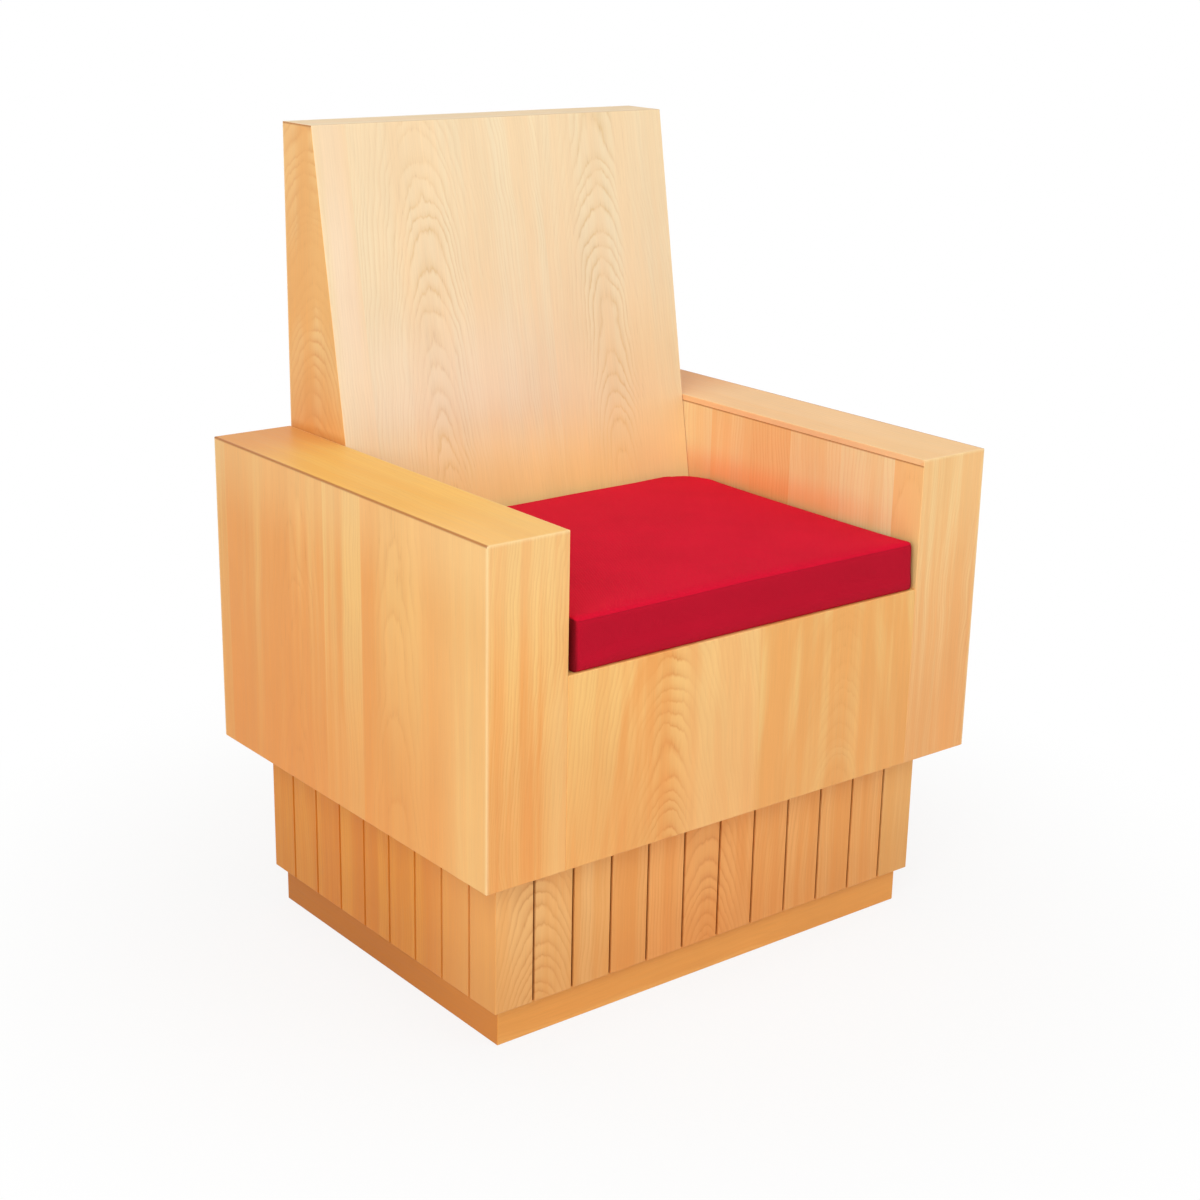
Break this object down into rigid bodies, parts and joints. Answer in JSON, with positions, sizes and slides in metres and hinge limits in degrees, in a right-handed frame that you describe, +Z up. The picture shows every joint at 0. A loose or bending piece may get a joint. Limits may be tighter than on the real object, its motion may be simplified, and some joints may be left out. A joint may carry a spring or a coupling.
{
  "type": "celebrant chair",
  "caption": "Blocky timber armchair with box arms, a wedge-shaped backrest, a vertically grooved base on a recessed plinth, and a loose padded seat that lifts off.",
  "frame": {"origin": "centre of the chair's plan, on the floor under the plinth", "axes": "+Z up, -Y the way the sitter faces, +X to the right as seen from the front"},
  "size_m": [0.7, 0.54, 0.925],
  "materials": {
    "veneered_panel": "light open-grained timber, clear satin lacquer",
    "plinth_timber": "light timber, darker, clear satin lacquer",
    "inner_board": "bare plywood and softwood blocking",
    "biscuit_beech": "pressed beech",
    "screw_steel": "zinc plated",
    "red_cloth": "plain woven wool upholstery cloth",
    "seat_foam": "cut foam block",
    "dust_cloth": "black lining cloth",
    "grip_tape": "hook and loop tape"
  },
  "bodies": {
    "chair": {"back_biscuits": "biscuit_beech", "back_bottom_rail": "inner_board", "back_front_panel": "veneered_panel", "back_left_cheek": "veneered_panel", "back_rear_panel": "veneered_panel", "back_ribs": "inner_board", "back_right_cheek": "veneered_panel", "back_screws": "screw_steel", "back_top_panel": "veneered_panel", "base_biscuits": "biscuit_beech", "base_bottom_board": "inner_board", "base_corner_posts": "inner_board", "base_front_panel": "veneered_panel", "base_left_panel": "veneered_panel", "base_rear_panel": "veneered_panel", "base_right_panel": "veneered_panel", "base_top_board": "inner_board", "bearer_screws": "screw_steel", "cleat_screws": "screw_steel", "floor_screws": "screw_steel", "front_seat_bearer": "inner_board", "left_arm_biscuits": "biscuit_beech", "left_arm_bottom_rail": "inner_board", "left_arm_cap": "veneered_panel", "left_arm_front_stile": "veneered_panel", "left_arm_inner_panel": "veneered_panel", "left_arm_outer_panel": "veneered_panel", "left_arm_rear_stile": "veneered_panel", "left_arm_spacers": "inner_board", "left_seat_bearer": "inner_board", "plinth_corner_blocks": "inner_board", "plinth_front_rail": "plinth_timber", "plinth_left_rail": "plinth_timber", "plinth_rear_rail": "plinth_timber", "plinth_right_rail": "plinth_timber", "plinth_screws": "screw_steel", "rear_seat_bearer": "inner_board", "right_arm_biscuits": "biscuit_beech", "right_arm_bottom_rail": "inner_board", "right_arm_cap": "veneered_panel", "right_arm_front_stile": "veneered_panel", "right_arm_inner_panel": "veneered_panel", "right_arm_outer_panel": "veneered_panel", "right_arm_rear_stile": "veneered_panel", "right_arm_spacers": "inner_board", "right_seat_bearer": "inner_board", "seat_board": "inner_board", "seat_board_screws": "screw_steel", "seat_box_cleats": "inner_board", "seat_box_floor": "inner_board", "seat_front_panel": "veneered_panel", "seat_grip_strips": "grip_tape", "seat_rear_panel": "veneered_panel"},
    "seat_pad": {"pad_board": "inner_board", "pad_cover": "red_cloth", "pad_dust_cloth": "dust_cloth", "pad_foam": "seat_foam", "pad_grip_strips": "grip_tape"}
  },
  "joints": [
    {"name": "seat_pad_lift", "type": "slide", "parent": "chair", "child": "seat_pad", "axis": [0, 0, 1], "range_m": [0, 0.2]}
  ]
}
